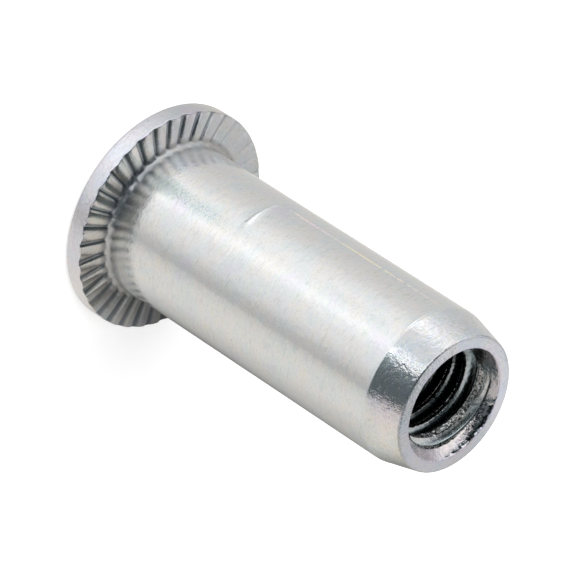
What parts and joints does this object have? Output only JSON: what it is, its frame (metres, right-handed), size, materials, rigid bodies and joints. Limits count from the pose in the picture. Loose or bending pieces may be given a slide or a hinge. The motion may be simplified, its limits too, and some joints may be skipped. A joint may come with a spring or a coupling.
{
  "type": "rivet nut",
  "caption": "Flat-head blind rivet nut with a plain round shank, a serrated head underside, a tapered open nose and an M6 thread.",
  "frame": {"origin": "centre of the head's flat outer face, on the axis", "axes": "+Z along the axis from the head to the open nose; X and Y are any two square directions"},
  "size_m": [0.013, 0.013, 0.0235],
  "materials": {
    "zinc_plated_steel": "bright zinc plate with a clear, slightly iridescent passivate"
  },
  "bodies": {
    "root": {"rivet_nut": "zinc_plated_steel"}
  },
  "joints": []
}
